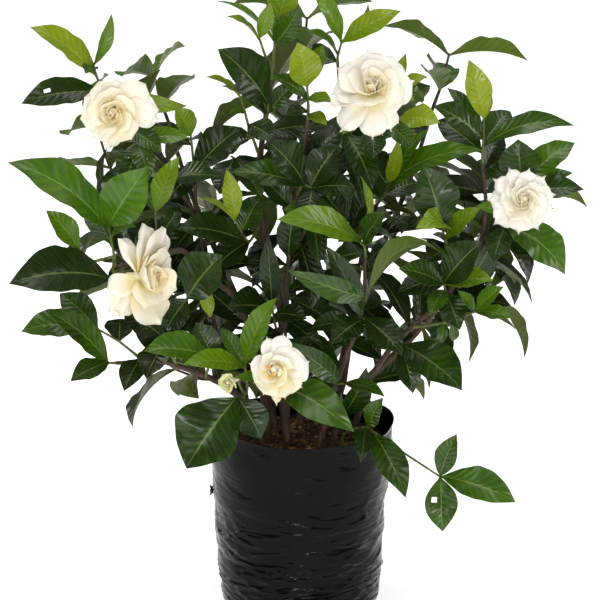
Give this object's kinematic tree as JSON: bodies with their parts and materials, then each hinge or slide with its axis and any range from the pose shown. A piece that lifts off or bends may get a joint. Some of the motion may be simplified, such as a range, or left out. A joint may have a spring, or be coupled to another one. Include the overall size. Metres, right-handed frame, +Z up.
{
  "type": "potted gardenia shrub",
  "caption": "Flowering gardenia shrub with glossy waved leaves and creamy double blooms, grown in a soft black nursery bag of potting mix; stands on the bag's flat base.",
  "frame": {"origin": "centre of the bag's flat base, on the ground", "axes": "+Z up along the plant; the pictured front faces -Y and the picture's right is +X"},
  "size_m": [0.5705, 0.3618, 0.6553],
  "materials": {
    "film": "shiny creased black polythene film",
    "potting_mix": "loose brown coir and bark mix",
    "wood": "matt brown bark, smooth on the thin stems",
    "leaf": "glossy waxy leaf with sunken veins, from dark green to young yellow-green",
    "petal": "soft velvety cream petal"
  },
  "bodies": {
    "root": {"bloom_faded": "petal", "bloom_left": "petal", "bloom_low": "petal", "bloom_right": "petal", "bloom_top": "petal", "bloom_upper_left": "petal", "branch_back_left": "leaf", "branch_back_middle": "leaf", "branch_back_right": "leaf", "branch_side_left": "leaf", "branch_side_right": "leaf", "grow_bag": "film", "soil": "potting_mix", "spray_bloom_left": "leaf", "spray_bloom_low": "leaf", "spray_bloom_right": "leaf", "spray_bloom_top": "leaf", "spray_bloom_upper_left": "leaf", "spray_centre": "leaf", "spray_centre_left": "leaf", "spray_centre_low": "leaf", "spray_centre_upper": "leaf", "spray_inner_right": "leaf", "spray_left": "leaf", "spray_left_centre": "leaf", "spray_left_end": "leaf", "spray_left_inner": "leaf", "spray_left_low": "leaf", "spray_left_low_inner": "leaf", "spray_left_low_inward": "leaf", "spray_left_tip": "leaf", "spray_low_centre": "leaf", "spray_over_rim": "leaf", "spray_right_centre": "leaf", "spray_right_front": "leaf", "spray_right_low": "leaf", "spray_right_twig": "leaf", "spray_right_upper": "leaf", "spray_small_top": "leaf", "spray_thin_foot": "leaf", "spray_thin_low": "leaf", "spray_thin_middle": "leaf", "spray_thin_top": "leaf", "spray_top": "leaf", "spray_top_centre": "leaf", "spray_top_left": "leaf", "spray_top_lower": "leaf", "spray_top_right": "leaf", "spray_upper_left": "leaf", "stem_centre": "wood", "stem_inner": "wood", "stem_left": "wood", "stem_left_rising": "wood", "stem_right": "wood", "stem_right_front": "wood", "stem_thin": "wood"}
  },
  "joints": []
}
